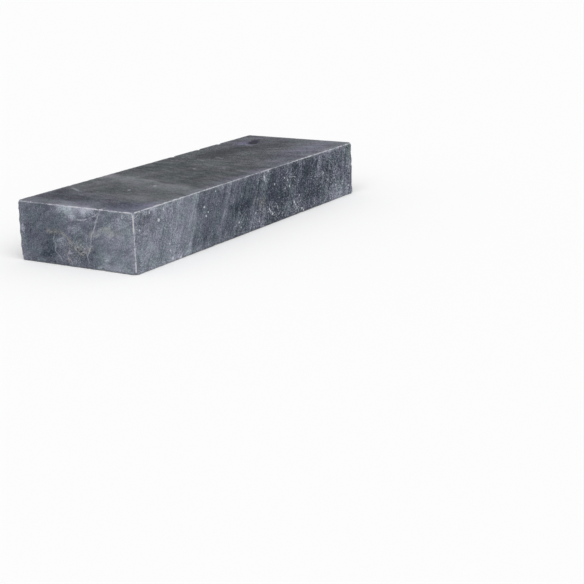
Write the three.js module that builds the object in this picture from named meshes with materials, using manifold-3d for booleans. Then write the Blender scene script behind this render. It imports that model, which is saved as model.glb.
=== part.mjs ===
// A sawn limestone step block: one solid stone with a dressed chamfer on every arris, the scallops
// that handling has broken out of the arrises and corners, and the shallow dents of knocks on its faces.
// Millimetres, +Z up. The origin is the middle of the bed face, X runs along the length of the step,
// and the riser faces -Y.
import * as THREE from "three";
import { mergeVertices } from "three/addons/utils/BufferGeometryUtils.js";
import Module from "manifold-3d";

// Driving dimensions.
const LENGTH = 1000;
const DEPTH = 350;
const HEIGHT = 147;
const CHAMFER = 2.4;

// Scallops along the arrises: how far apart they lie, how long they are and how deep they bite.
const DRESSED = { gap: [18, 48], half: [4, 10], bite: [0.5, 1.5] };
const ROUGH = { gap: [15, 36], half: [5, 14], bite: [0.8, 2.8] };
const CORNER_CHIP = { radius: [11, 16], bite: [5.4, 8.4] };

// A pebble's flat facets lie inside its sphere. A scallop's pebble is this much larger to make up for it.
const FACET_ALLOWANCE = 1.05;

// Knocks on the faces: each is the cap of a low dome.
const DENT = { half: [2.6, 5.2], sink: [0.55, 1.1] };
const DENT_MARGIN = 12;
const DENTS_PER_FACE = { riser: 44, back: 26, left: 16, right: 16, tread: 6 };

// The larger nicks that show on the edges: the arris, the place along it from the block's middle,
// half the length and the bite.
const NICKS = [
  { edge: "tread_back", at: 20, half: 9, bite: 2.0 },
  { edge: "tread_back", at: 116, half: 10, bite: 11.0 },
  { edge: "tread_back", at: 234, half: 9, bite: 6.6 },
  { edge: "tread_back", at: 336, half: 11, bite: 12.4 },
  { edge: "bed_left", at: -117, half: 5, bite: 3.4 },
  { edge: "bed_left", at: -77, half: 7, bite: 7.6 },
  { edge: "bed_left", at: -34, half: 6, bite: 3.4 },
  { edge: "bed_left", at: 60, half: 9, bite: 1.8 },
  { edge: "bed_front", at: -182, half: 12, bite: 3.2 },
  { edge: "bed_front", at: 214, half: 16, bite: 3.0 },
  { edge: "right_front", at: 44, half: 14, bite: 2.6 },
  { edge: "right_front", at: -32, half: 20, bite: 2.6 },
  { edge: "left_back", at: 62, half: 11, bite: 1.6 },
  { edge: "left_back", at: 45, half: 8, bite: 2.2 },
  { edge: "left_back", at: -14, half: 5, bite: 1.4 },
  { edge: "left_back", at: -47, half: 5, bite: 1.4 },
  { edge: "left_back", at: -67, half: 9, bite: 3.6 },
];

// The twelve arrises. Each runs along one axis and lies at the two sides given for the other axes.
const HALF = new THREE.Vector3(LENGTH / 2, DEPTH / 2, HEIGHT / 2);
const EDGES = [
  { name: "tread_front", along: "x", side: [0, -1, 1], wear: DRESSED },
  { name: "tread_back", along: "x", side: [0, 1, 1], wear: DRESSED },
  { name: "tread_left", along: "y", side: [-1, 0, 1], wear: DRESSED },
  { name: "tread_right", along: "y", side: [1, 0, 1], wear: DRESSED },
  { name: "left_front", along: "z", side: [-1, -1, 0], wear: DRESSED },
  { name: "right_front", along: "z", side: [1, -1, 0], wear: ROUGH },
  { name: "left_back", along: "z", side: [-1, 1, 0], wear: ROUGH },
  { name: "right_back", along: "z", side: [1, 1, 0], wear: ROUGH },
  { name: "bed_front", along: "x", side: [0, -1, -1], wear: DRESSED },
  { name: "bed_back", along: "x", side: [0, 1, -1], wear: DRESSED },
  { name: "bed_left", along: "y", side: [-1, 0, -1], wear: DRESSED },
  { name: "bed_right", along: "y", side: [1, 0, -1], wear: DRESSED },
];

// The faces that take dents: which way each one looks.
const FACES = {
  riser: [0, -1, 0],
  back: [0, 1, 0],
  left: [-1, 0, 0],
  right: [1, 0, 0],
  tread: [0, 0, 1],
};

// Random numbers from a fixed seed, so that every build gives the same stone.
let state = 147;
function random() {
  state = (state + 0x6d2b79f5) | 0;
  let t = Math.imul(state ^ (state >>> 15), 1 | state);
  t = (t + Math.imul(t ^ (t >>> 7), 61 | t)) ^ t;
  return ((t ^ (t >>> 14)) >>> 0) / 4294967296;
}
const between = ([low, high]) => low + (high - low) * random();

const wasm = await Module();
wasm.setup();

// A closed geometry as a manifold-3d solid.
function solidOf(geometry) {
  const bare = geometry.clone();
  bare.deleteAttribute("normal");
  bare.deleteAttribute("uv");
  const merged = mergeVertices(bare, 1e-4);
  return new wasm.Manifold(
    new wasm.Mesh({
      numProp: 3,
      vertProperties: merged.attributes.position.array,
      triVerts: new Uint32Array(merged.index.array),
    }),
  );
}

// A manifold-3d solid as a geometry with flat facets.
function geometryOf(solid) {
  const mesh = solid.getMesh();
  const geometry = new THREE.BufferGeometry();
  geometry.setAttribute("position", new THREE.BufferAttribute(mesh.vertProperties, 3));
  geometry.setIndex(new THREE.BufferAttribute(mesh.triVerts, 1));
  const faceted = geometry.toNonIndexed();
  faceted.computeVertexNormals();
  return faceted;
}

// The sawn block with its chamfers: an eight-sided plan, extruded with a one-step bevel at both ends.
function sawnBlock() {
  const plan = new THREE.Shape();
  const { x, y } = HALF;
  plan.moveTo(-x + CHAMFER, -y);
  plan.lineTo(x - CHAMFER, -y);
  plan.lineTo(x, -y + CHAMFER);
  plan.lineTo(x, y - CHAMFER);
  plan.lineTo(x - CHAMFER, y);
  plan.lineTo(-x + CHAMFER, y);
  plan.lineTo(-x, y - CHAMFER);
  plan.lineTo(-x, -y + CHAMFER);
  plan.closePath();
  const block = new THREE.ExtrudeGeometry(plan, {
    depth: HEIGHT - 2 * CHAMFER,
    bevelThickness: CHAMFER,
    bevelSize: CHAMFER,
    bevelOffset: -CHAMFER,
    bevelSegments: 1,
  });
  return block.translate(0, 0, CHAMFER - HALF.z);
}

// A low-sided pebble whose far side is what a scallop or a dent takes out of the stone.
function pebble(stretch, place, turn) {
  const form = new THREE.IcosahedronGeometry(1, 1);
  const pose = new THREE.Matrix4().compose(
    place,
    new THREE.Quaternion().setFromEuler(turn),
    stretch,
  );
  return solidOf(form.applyMatrix4(pose));
}

// A scallop out of an arris. Its pebble lies along the edge, outside the stone, and bites inwards.
function scallop(edge, at, half, bite) {
  const out = new THREE.Vector3(...edge.side);
  const place = out.clone().multiply(HALF);
  place[edge.along] = at;
  // The circle through both ends of a cut of this half length and depth.
  const radius = (half * half + bite * bite) / (2 * bite);
  const girth = Math.min(radius, 2.2 * half);
  const chamferLine = CHAMFER / Math.SQRT2;
  place.addScaledVector(out.normalize(), girth - bite - chamferLine);
  const stretch = new THREE.Vector3(girth, girth, girth);
  stretch[edge.along] = half * Math.sqrt(girth / (2 * bite));
  stretch.multiplyScalar(FACET_ALLOWANCE);
  const turn = new THREE.Euler();
  turn[edge.along] = random() * Math.PI;
  return pebble(stretch, place, turn);
}

// The run of scallops along one arris.
function wornArris(edge) {
  const cuts = [];
  const reach = HALF[edge.along];
  let at = -reach + between(edge.wear.gap);
  while (at < reach) {
    cuts.push(scallop(edge, at, between(edge.wear.half), between(edge.wear.bite)));
    at += between(edge.wear.gap);
  }
  return cuts;
}

// The chip off one corner.
function cornerChip(sx, sy, sz) {
  const corner = new THREE.Vector3(sx, sy, sz);
  const place = corner.clone().multiply(HALF);
  const radius = between(CORNER_CHIP.radius);
  place.addScaledVector(corner.normalize(), radius - between(CORNER_CHIP.bite));
  const turn = new THREE.Euler(random() * Math.PI, random() * Math.PI, random() * Math.PI);
  return pebble(new THREE.Vector3(radius, radius, radius), place, turn);
}

// A dent in a face: the cap of a dome that stands outside it.
function dent(normal) {
  const out = new THREE.Vector3(...normal);
  const place = new THREE.Vector3();
  for (const axis of ["x", "y", "z"]) {
    const reach = HALF[axis] - DENT_MARGIN;
    place[axis] = out[axis] ? out[axis] * HALF[axis] : between([-reach, reach]);
  }
  const half = between(DENT.half);
  const sink = between(DENT.sink);
  const radius = (half * half + sink * sink) / (2 * sink);
  place.addScaledVector(out, radius - sink);
  const turn = new THREE.Euler(random() * Math.PI, random() * Math.PI, random() * Math.PI);
  return pebble(new THREE.Vector3(radius, radius, radius), place, turn);
}

function allCuts() {
  const cuts = EDGES.flatMap(wornArris);
  for (const nick of NICKS) {
    const edge = EDGES.find((e) => e.name === nick.edge);
    cuts.push(scallop(edge, nick.at, nick.half, nick.bite));
  }
  for (const sx of [-1, 1])
    for (const sy of [-1, 1])
      for (const sz of [-1, 1]) cuts.push(cornerChip(sx, sy, sz));
  for (const [face, normal] of Object.entries(FACES))
    for (let i = 0; i < DENTS_PER_FACE[face]; i++) cuts.push(dent(normal));
  return cuts;
}

function stepBlock() {
  const worn = solidOf(sawnBlock()).subtract(wasm.Manifold.union(allCuts()));
  const limestone = new THREE.MeshStandardMaterial({
    color: new THREE.Color(0.135, 0.147, 0.175),
    roughness: 0.78,
    metalness: 0,
  });
  const block = new THREE.Mesh(geometryOf(worn), limestone);
  block.name = "step_block";
  block.position.z = HALF.z;
  return block;
}

const part = new THREE.Group();
part.add(stepBlock());

export default part;
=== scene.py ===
# %% [markdown]
# # A limestone step block
#
# This lesson dresses one stone: a sawn block of dark blue-grey limestone, a metre long, that is laid as
# a garden step. The solid block comes packed, at its real size. What is made here is everything the
# eye takes for stone: a skin with worn arrises, pits and brushed relief, and three finishes of one rock.
#
# The work goes in this order: the frame, the eye and the light, the skin's mesh, the skin's relief,
# the rock's pattern, the finishes, and the hand-over of the finished piece.

import bpy
import numpy as np
from math import radians
from mathutils import Euler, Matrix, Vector


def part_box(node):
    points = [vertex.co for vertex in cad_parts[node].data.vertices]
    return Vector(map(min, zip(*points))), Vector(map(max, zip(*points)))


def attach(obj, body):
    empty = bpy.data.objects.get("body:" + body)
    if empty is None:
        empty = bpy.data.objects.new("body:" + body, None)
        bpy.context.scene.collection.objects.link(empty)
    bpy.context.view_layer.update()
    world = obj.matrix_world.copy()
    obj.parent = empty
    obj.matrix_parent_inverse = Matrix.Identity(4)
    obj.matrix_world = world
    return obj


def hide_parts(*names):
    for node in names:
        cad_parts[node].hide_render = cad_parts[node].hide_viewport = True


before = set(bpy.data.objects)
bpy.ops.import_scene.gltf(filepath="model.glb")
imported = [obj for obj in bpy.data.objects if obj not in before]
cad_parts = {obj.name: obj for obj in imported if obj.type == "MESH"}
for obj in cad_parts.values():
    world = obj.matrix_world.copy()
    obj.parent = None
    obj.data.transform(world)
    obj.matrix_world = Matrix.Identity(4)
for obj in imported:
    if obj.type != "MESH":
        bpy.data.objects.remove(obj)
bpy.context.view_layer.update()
sawn_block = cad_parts["step_block"]
LOW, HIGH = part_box("step_block")
SIZE = HIGH - LOW
print("block, m:", [round(side, 4) for side in SIZE])

# %% [markdown]
# ## A short hand for wiring nodes
#
# Stone is layer on layer of small patterns, so its node trees are long. Written out in full they would
# hide the idea under the wiring. `Wiring` keeps one call to one node: it adds the node, plugs in what
# it is given, be it a number or another node's output, and hands back the output that is used next.
# Sums come first, then the three moves that every stone pattern is made of: noise, fades and tints.
# Noise takes lumps to the metre, detail and roughness. A swing takes its amount after the lumps. A fade
# takes where it starts and ends, and the values that it has there.

# %% Wiring: one call for one node


class Wiring:
    """Adds nodes to one tree. A value given to an input is either a number or another node's output."""

    def __init__(self, tree):
        self.tree = tree

    def add(self, kind, inputs=None, **settings):
        """Adds a node, sets it up and plugs in its inputs, which go by name or by number."""
        node = self.tree.nodes.new(kind)
        for name, value in settings.items():
            setattr(node, name, value)
        for socket, value in (inputs or {}).items():
            self.plug(value, node.inputs[socket])
        return node

    def plug(self, value, socket):
        if isinstance(value, bpy.types.NodeSocket):
            self.tree.links.new(value, socket)
        else:
            socket.default_value = value


print("wiring moves:", [move for move in vars(Wiring) if move[0] != "_"])

# %% Sums on numbers and on places


class Sums(Wiring):
    """Arithmetic on numbers, and on places, which are vectors."""

    def math(self, operation, a, b=0.0):
        return self.add("ShaderNodeMath", {0: a, 1: b}, operation=operation).outputs[0]

    def plus(self, a, b):
        return self.math("ADD", a, b)

    def minus(self, a, b):
        return self.math("SUBTRACT", a, b)

    def times(self, a, b):
        return self.math("MULTIPLY", a, b)

    def over(self, a, b):
        return self.math("DIVIDE", a, b)

    def least(self, a, b):
        return self.math("MINIMUM", a, b)

    def most(self, a, b):
        return self.math("MAXIMUM", a, b)

    def vector(self, operation, a, b=(0.0, 0.0, 0.0)):
        return self.add("ShaderNodeVectorMath", {0: a, 1: b}, operation=operation).outputs[0]

    def scaled(self, a, by):
        return self.add("ShaderNodeVectorMath", {0: a, "Scale": by}, operation="SCALE").outputs[0]

    def length(self, a):
        return self.add("ShaderNodeVectorMath", {0: a}, operation="LENGTH").outputs["Value"]

    def dot(self, a, b):
        return self.add("ShaderNodeVectorMath", {0: a, 1: b}, operation="DOT_PRODUCT").outputs["Value"]

    def split(self, a):
        return self.add("ShaderNodeSeparateXYZ", {0: a}).outputs

    def joined(self, x, y, z):
        return self.add("ShaderNodeCombineXYZ", {0: x, 1: y, 2: z}).outputs[0]

    def shifted(self, place, by, amount):
        """A place, shifted by so much of a vector."""
        return self.vector("ADD", place, self.scaled(by, amount))


print("sums:", [move for move in vars(Sums) if move[0] != "_"])

# %% Noise, fades and tints


class Patterns(Sums):
    """What stone patterns are made of."""

    def noise(self, place, per_metre, detail=3.0, roughness=0.5):
        """Clouds round about 0.5, with so many lumps to the metre."""
        inputs = {"Vector": place, "Scale": per_metre, "Detail": detail, "Roughness": roughness}
        return self.add("ShaderNodeTexNoise", inputs).outputs[0]

    def swing(self, place, per_metre, amount, detail=3.0, roughness=0.5):
        """The same clouds round about 0, as strong as amount."""
        return self.times(self.minus(self.noise(place, per_metre, detail, roughness), 0.5), amount)

    def wandering(self, place, per_metre, detail):
        """A vector that wanders round about 0 from place to place."""
        inputs = {"Vector": place, "Scale": per_metre, "Detail": detail}
        noise = self.add("ShaderNodeTexNoise", inputs).outputs["Color"]
        return self.vector("SUBTRACT", noise, (0.5, 0.5, 0.5))

    def fade(self, value, start, end, low=0.0, high=1.0):
        """Runs smoothly from low to high as value goes from start to end, and never leaves them."""
        inputs = {0: value, 1: start, 2: end, 3: low, 4: high}
        kind = {"interpolation_type": "SMOOTHSTEP", "clamp": False}
        return self.add("ShaderNodeMapRange", inputs, **kind).outputs[0]

    def mottle(self, place, noise, fade):
        """Noise that is spread out by a fade. Both come as the numbers that their own moves take."""
        return self.fade(self.noise(place, *noise), *fade)

    def blend(self, share, a, b):
        """From number a to number b."""
        return self.add("ShaderNodeMix", {0: share, 2: a, 3: b}).outputs[0]

    def tint(self, share, a, b, how="MIX"):
        """From colour a to colour b."""
        mix = self.add("ShaderNodeMix", data_type="RGBA", blend_type=how)
        for value, socket in ((share, 0), (a, 6), (b, 7)):
            self.plug(value, mix.inputs[socket])
        return mix.outputs[2]


print("patterns:", [move for move in vars(Patterns) if move[0] != "_"])

# %% A new node group


def new_group(name, kind, inputs, outputs):
    """A node group with named sockets, with the wiring, inputs and output node to fill it with."""
    tree = bpy.data.node_groups.new(name, kind)
    for side, sockets in (("INPUT", inputs), ("OUTPUT", outputs)):
        for socket, what in sockets.items():
            tree.interface.new_socket(socket, in_out=side, socket_type="NodeSocket" + what)
    given = tree.nodes.new("NodeGroupInput").outputs
    return tree, Patterns(tree), given, tree.nodes.new("NodeGroupOutput").inputs


print("group helper:", new_group.__name__)

# %% [markdown]
# ## The eye
#
# The block is seen from its front left, a little above, from about three and a half metres: far enough
# for the long arrises to run nearly parallel. A long lens does the rest. The camera is turned by three
# plain angles: its heading, how far it looks down, and a slight roll, because it isn't held quite level.

# %% Camera
EYE = Vector((-2.868, -2.094, 0.807))
HEADING = radians(-57.61)
LOOK_DOWN = radians(15.80)
ROLL = radians(-1.89)
LENS = 84.88
FRAME_WIDTH = 36.0

camera_data = bpy.data.cameras.new("eye")
camera_data.lens = LENS
camera_data.sensor_width = FRAME_WIDTH
camera = bpy.data.objects.new("eye", camera_data)
camera.location = EYE
level = Euler((radians(90) - LOOK_DOWN, 0.0, HEADING), "XYZ").to_matrix()
camera.rotation_euler = (level @ Euler((0.0, 0.0, ROLL)).to_matrix()).to_euler()
bpy.context.scene.collection.objects.link(camera)
bpy.context.scene.camera = camera
print("eye at", [round(part, 3) for part in EYE], "with a lens of", LENS, "mm")

# %% [markdown]
# ## Floor and light
#
# A stone with hardly any gloss shows best in light without edges. Half of the light is an even pale
# dome. The other half is a sun as broad as a studio softbox, high at the front left: it lifts the pale
# arrises and leaves one soft shadow. A brighter dome alone would do for the sides, but the honed tread
# mirrors it at a low angle and would turn milky. Colours are shown plainly, with no film look, so that
# a grey stays the grey it was given.

# %% Floor, sky and softbox
FLOOR_REACH = 60.0
FLOOR_GREY = 0.95
SKY = 0.52
SOFTBOX_FROM = Vector((-0.52, -0.42, 0.75))
SOFTBOX_WIDTH = radians(70)
SOFTBOX_STRENGTH = 2.15


def flat_floor(name, reach, height):
    """One square on the ground, as large as the eye can see."""
    mesh = bpy.data.meshes.new(name)
    corners = [(x * reach, y * reach, height) for x, y in ((-1, -1), (1, -1), (1, 1), (-1, 1))]
    mesh.from_pydata(corners, [], [(0, 1, 2, 3)])
    return bpy.data.objects.new(name, mesh)


bpy.context.scene.view_settings.view_transform = "Standard"

world = bpy.data.worlds.new("pale dome")
bpy.context.scene.world = world
world.use_nodes = True
dome = world.node_tree.nodes["Background"]
dome.inputs["Color"].default_value = (1.0, 1.0, 1.0, 1.0)
dome.inputs["Strength"].default_value = SKY

softbox_data = bpy.data.lights.new("softbox", "SUN")
softbox_data.angle = SOFTBOX_WIDTH
softbox_data.energy = SOFTBOX_STRENGTH
softbox = bpy.data.objects.new("softbox", softbox_data)
softbox.rotation_euler = SOFTBOX_FROM.to_track_quat("Z", "Y").to_euler()
bpy.context.scene.collection.objects.link(softbox)

floor = flat_floor("floor", FLOOR_REACH, LOW.z)
bpy.context.scene.collection.objects.link(floor)
pale_floor = bpy.data.materials.new("pale floor")
pale_floor.use_nodes = True
paint = pale_floor.node_tree.nodes["Principled BSDF"]
paint.inputs["Base Color"].default_value = (FLOOR_GREY, FLOOR_GREY, FLOOR_GREY, 1.0)
paint.inputs["Roughness"].default_value = 1.0
paint.inputs["Specular IOR Level"].default_value = 0.0
floor.data.materials.append(pale_floor)
print("floor grey", FLOOR_GREY, "dome", SKY, "softbox", SOFTBOX_STRENGTH)

# %% [markdown]
# ## The skin's mesh
#
# The packed block has the true shape, but only a few thousand flat facets. Relief needs a mesh of small
# even squares. Cutting the solid up finely would work, and would leave long thin triangles to stretch
# every pit. So a fresh sheath of squares is laid round the block, and drawn down onto it later.
#
# The squares are narrow next to the arrises, where the wear is, and widen towards the middle of each
# face, where there is little to follow. The sheath also brings its own flat map, with the six faces
# laid out side by side like an opened carton, so that any picture baked from the stone stays even.

# %% Rows that crowd towards the arrises
CELL = 0.0038
ARRIS_CELL = 0.0009
WIDENING = 1.25


def rows(length):
    """Distances from one end of a side to the other, close together at both ends."""
    crowd = [0.0]
    step = ARRIS_CELL
    while step < CELL:
        crowd.append(crowd[-1] + step)
        step *= WIDENING
    middle = length - 2 * crowd[-1]
    even = np.linspace(crowd[-1], crowd[-1] + middle, round(middle / CELL) + 1)[1:-1]
    return np.array(crowd + list(even) + [length - d for d in reversed(crowd)])


row_places = [rows(side) for side in SIZE]
print("rows along, across and up:", [len(places) for places in row_places])

# %% The carton: which face gets which finish, and where it lies on the flat map
HONED, BRUSHED, SAWN = 0, 1, 2
MAP_GAP = 0.012
# Each face: the axis it looks along, at its far side or not, its two other axes and its finish.
CARTON = [
    (2, True, (0, 1), HONED),
    (2, False, (0, 1), SAWN),
    (1, False, (0, 2), BRUSHED),
    (1, True, (0, 2), BRUSHED),
    (0, False, (1, 2), BRUSHED),
    (0, True, (1, 2), BRUSHED),
]


def carton_places():
    """Where each face's rectangle starts on the flat map, in metres, and how wide the whole map is."""
    starts = []
    right = up = MAP_GAP
    for axis, far, (wide, tall), _ in CARTON:
        last_end = axis == 0 and far
        if last_end:
            up -= SIZE[tall] + MAP_GAP
            right += SIZE[wide] + MAP_GAP
        starts.append((right, up))
        up += SIZE[tall] + MAP_GAP
    return starts, max(up, SIZE.x + 2 * MAP_GAP)


map_starts, map_width = carton_places()
print("flat map, m:", round(map_width, 3))

# %% The sheath, face by face


def corners_of_squares(grid):
    """The four corners of every square of a grid, in order round the square."""
    return [grid[:-1, :-1], grid[1:, :-1], grid[1:, 1:], grid[:-1, 1:]]


def make_sheath():
    """A closed box of small squares round the block, with its finish numbers and its flat map."""
    counts = [len(places) for places in row_places]
    numbers = np.full(counts, -1)
    points, squares, spots, finishes = [], [], [], []
    for (axis, far, (wide, tall), finish), start in zip(CARTON, map_starts):
        grid = np.meshgrid(np.arange(counts[wide]), np.arange(counts[tall]), indexing="ij")
        index = [None] * 3
        index[wide], index[tall] = grid
        index[axis] = np.full(grid[0].shape, counts[axis] - 1 if far else 0)
        index = tuple(index)
        # Points on an arris belong to two faces, and are made once.
        fresh = numbers[index] < 0
        numbers[tuple(i[fresh] for i in index)] = len(points) + np.arange(fresh.sum())
        places = np.stack([row_places[a][index[a]] + LOW[a] for a in range(3)], -1)
        points.extend(places[fresh].tolist())
        square = np.stack(corners_of_squares(numbers[index]), -1)
        flat = np.stack([row_places[wide][grid[0]], row_places[tall][grid[1]]], -1) + start
        spot = np.stack(corners_of_squares(flat), -2)
        # The squares run the right way round on three faces and are turned over on the other three.
        if far == (axis == 1):
            square = square[..., ::-1]
            spot = spot[..., ::-1, :]
        squares.append(square.reshape(-1, 4))
        spots.append(spot.reshape(-1, 2) / map_width)
        finishes.append(np.full(len(squares[-1]), finish))
    mesh = bpy.data.meshes.new("stone_skin")
    mesh.from_pydata(points, [], np.concatenate(squares).tolist())
    mesh.attributes.new("finish", "INT", "FACE").data.foreach_set("value", np.concatenate(finishes))
    mesh.uv_layers.new(name="OFBake").data.foreach_set("uv", np.concatenate(spots).ravel())
    return mesh


stone = bpy.data.objects.new("stone", make_sheath())
bpy.context.scene.collection.objects.link(stone)
print("sheath squares:", len(stone.data.polygons))

# %% [markdown]
# ## The skin's relief
#
# A block like this is sawn on all sides, then its riser and ends are brushed and its tread is honed. The
# brush wears soft spots into shallow hollows and opens small pits, the hone leaves the tread nearly
# flat, and every arris has crumbled a little. This follows a rule, so a Geometry Nodes tree makes it.
#
# Each point of the sheath is sent straight inwards until it meets the sawn block, which draws the sheath
# down over every chamfer, scallop and dent. Then it sinks a little more, by noise for the brushed
# hollows, by cells for the pits, and by more noise along the arrises. The skin only ever moves inwards,
# so the stone keeps its size.

# %% Draw the sheath down onto the block
DRAW_DEPTH = 0.016
STAND_OFF = 0.001
# From a corner the way inwards is a cube's diagonal, which is longer than its side.
LONGEST_WAY = DRAW_DEPTH * 3 ** 0.5


def way_inwards(wire, place, low, high):
    """The direction from a point of the sheath to the nearest point of the stone's sound core."""
    margin = (DRAW_DEPTH,) * 3
    from_low = wire.vector("MAXIMUM", place, wire.vector("ADD", low, margin))
    core = wire.vector("MINIMUM", from_low, wire.vector("SUBTRACT", high, margin))
    return wire.vector("NORMALIZE", wire.vector("SUBTRACT", core, place))


def travel_to_block(wire, place, inwards, block):
    """How far a point of the sheath travels inwards before it meets the block."""
    target = wire.add("GeometryNodeObjectInfo", {"Object": block}).outputs["Geometry"]
    ray = wire.add("GeometryNodeRaycast", {"Target Geometry": target})
    start = wire.vector("SUBTRACT", place, wire.scaled(inwards, STAND_OFF))
    wire.plug(start, ray.inputs["Source Position"])
    wire.plug(inwards, ray.inputs["Ray Direction"])
    wire.plug(LONGEST_WAY + STAND_OFF, ray.inputs["Ray Length"])
    travel = wire.most(wire.minus(ray.outputs["Hit Distance"], STAND_OFF), 0.0)
    return wire.times(travel, ray.outputs["Is Hit"])


print("the sheath may travel", round(LONGEST_WAY, 4), "m")

# %% How deep a point lies below the sawn faces and from the arrises


def depths_below(wire, place, low, high):
    """How deep a point lies below the nearer of each pair of faces, along, across and up."""
    from_low = wire.vector("SUBTRACT", place, low)
    return wire.split(wire.vector("MINIMUM", from_low, wire.vector("SUBTRACT", high, place)))


def arris_distance(wire, place, low, high):
    """How far a point on the skin lies from its nearest arris: the middle one of its three depths."""
    x, y, z = depths_below(wire, place, low, high)
    return wire.most(wire.least(x, y), wire.least(wire.most(x, y), z))


def knock_depth(wire, place, low, high, chamfer):
    """How deep a point lies below the sawn block with its chamfers, as they were before any wear."""
    x, y, z = depths_below(wire, place, low, high)
    depth = wire.least(wire.least(x, y), z)
    for one, two in ((x, y), (y, z), (z, x)):
        slope = wire.times(wire.minus(wire.plus(one, two), chamfer), 0.5 ** 0.5)
        depth = wire.least(depth, slope)
    return depth


print("knocks are measured from a block of", [round(side, 3) for side in SIZE], "m")

# %% Brushed hollows, pits and crumbs
WIDE_HOLLOWS = (26.0, 3.0, 0.55)
SMALL_HOLLOWS = (90.0, 2.0)
CRUMBS = ((130.0, 3.0, 0.6), (0.42, 0.75))
# The share of cells without a pit, and the least and the greatest width of a pit, in cells.
NO_PIT = 0.45
LEAST_PIT = 0.001
GREATEST_PIT = 0.42
# How far from an arris its crumbs end, and within which they are whole.
CRUMBS_END = 0.005
CRUMBS_WHOLE = 0.001


def brushed_hollows(wire, place):
    """Shallow hollows on two scales, from about 0 to 1."""
    wide = wire.noise(place, *WIDE_HOLLOWS)
    return wire.times(wire.times(wide, wire.noise(place, *SMALL_HOLLOWS)), 2.0)


def open_pits(wire, place, spacing):
    """1 in the middle of each small pit. About half of the cells have a pit, each of its own size."""
    cells = wire.add("ShaderNodeTexVoronoi", {"Vector": place, "Scale": wire.over(1.0, spacing)})
    draw = wire.split(cells.outputs["Color"])[0]
    size = wire.fade(draw, NO_PIT, 1.0, LEAST_PIT, GREATEST_PIT)
    return wire.fade(wire.over(cells.outputs["Distance"], size), 1.0, 0.2)


def arris_crumbs(wire, place, from_arris):
    """Where an arris has crumbled, fading out a few millimetres from it."""
    crumbs = wire.mottle(place, *CRUMBS)
    return wire.times(crumbs, wire.fade(from_arris, CRUMBS_END, CRUMBS_WHOLE))


print("relief helpers:", brushed_hollows.__name__, open_pits.__name__, arris_crumbs.__name__)

# %% The tree that draws the sheath down and wears it
# How far below the tread the relief is the brushed one, and above which it is the honed one.
BRUSHED_BELOW = 0.0015
HONED_ABOVE = 0.0002
SKIN_SIZES = {
    "Low Corner": "Vector",
    "High Corner": "Vector",
    "Chamfer": "Float",
    "Brushed Relief": "Float",
    "Honed Relief": "Float",
    "Pit Spacing": "Float",
    "Pit Depth": "Float",
    "Arris Crumble": "Float",
    "Seed": "Float",
}


def skin_tree(finishes):
    """The stone's skin. finishes are its materials, in the order of their finish numbers."""
    inputs = {"Sheath": "Geometry", "Sawn Block": "Object"} | SKIN_SIZES
    outputs = {"Stone": "Geometry"}
    tree, wire, given, result = new_group("stone skin", "GeometryNodeTree", inputs, outputs)
    low = given["Low Corner"]
    high = given["High Corner"]
    place = wire.add("GeometryNodeInputPosition").outputs[0]
    inwards = way_inwards(wire, place, low, high)
    travel = travel_to_block(wire, place, inwards, given["Sawn Block"])
    touched = wire.shifted(place, inwards, travel)
    knocked = knock_depth(wire, touched, low, high, given["Chamfer"])

    seeded = wire.vector("ADD", place, wire.joined(given["Seed"], given["Seed"], 0.0))
    hollows = brushed_hollows(wire, seeded)
    pits = wire.times(open_pits(wire, seeded, given["Pit Spacing"]), given["Pit Depth"])
    rough = wire.plus(wire.times(hollows, given["Brushed Relief"]), pits)
    smooth = wire.times(hollows, given["Honed Relief"])
    below_tread = wire.minus(wire.split(high)[2], wire.split(place)[2])
    sink = wire.blend(wire.fade(below_tread, BRUSHED_BELOW, HONED_ABOVE), rough, smooth)
    crumbs = arris_crumbs(wire, seeded, arris_distance(wire, place, low, high))
    sink = wire.plus(sink, wire.times(crumbs, given["Arris Crumble"]))

    sheath = {"Geometry": given["Sheath"], "Name": "knocked"}
    stored = wire.add("GeometryNodeStoreNamedAttribute", sheath)
    wire.plug(knocked, stored.inputs["Value"])
    moved = wire.add("GeometryNodeSetPosition", {"Geometry": stored.outputs[0]})
    wire.plug(wire.scaled(inwards, wire.plus(travel, sink)), moved.inputs["Offset"])
    rounded = wire.add("GeometryNodeSetShadeSmooth", {"Geometry": moved.outputs[0]})
    skin = wire.add("GeometryNodeRealizeInstances", {"Geometry": rounded.outputs[0]}).outputs[0]
    finish = wire.add("GeometryNodeInputNamedAttribute", {"Name": "finish"}, data_type="INT").outputs[0]
    for number, material in enumerate(finishes):
        chosen = wire.math("COMPARE", finish, float(number))
        dressed = wire.add("GeometryNodeSetMaterial", {"Geometry": skin, "Selection": chosen})
        dressed.inputs["Material"].default_value = material
        skin = dressed.outputs[0]
    wire.plug(skin, result["Stone"])
    return tree


print("the skin's tree takes", len(SKIN_SIZES), "sizes")

# %% [markdown]
# ## The rock: its beds
#
# Limestone like this began as beds of dark lime mud. Pressure and heat smeared the beds into leaning
# streaks. A saw cuts through all of it, so the pattern has to run through the stone and not lie on it:
# a pale bed must carry on over an arris from riser to tread.
#
# So everything here reads nothing but the place inside the stone. First comes how far along the beds a
# point lies. A colour ramp then looks up that bed's tones: it is the plainest way to keep a long row of
# given bands in one node, and its three channels carry three readings of the same bed. Brushing
# lays a bed's pale crystals open, while the hone closes them and shows its deeper, browner or purpler
# body, so a bed has one paleness for each, and a share of purple.

# %% The beds, from the left end to the right
# How far the beds lean to the right for each metre up and for each metre back: first on the left, then
# on the right, and between which distances from the left end the one turns into the other.
LEAN_UP = (0.33, 0.12)
LEAN_UP_TURNS = (0.35, 0.80)
LEAN_BACK = (0.20, -0.45)
LEAN_BACK_TURNS = (0.45, 0.80)
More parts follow.
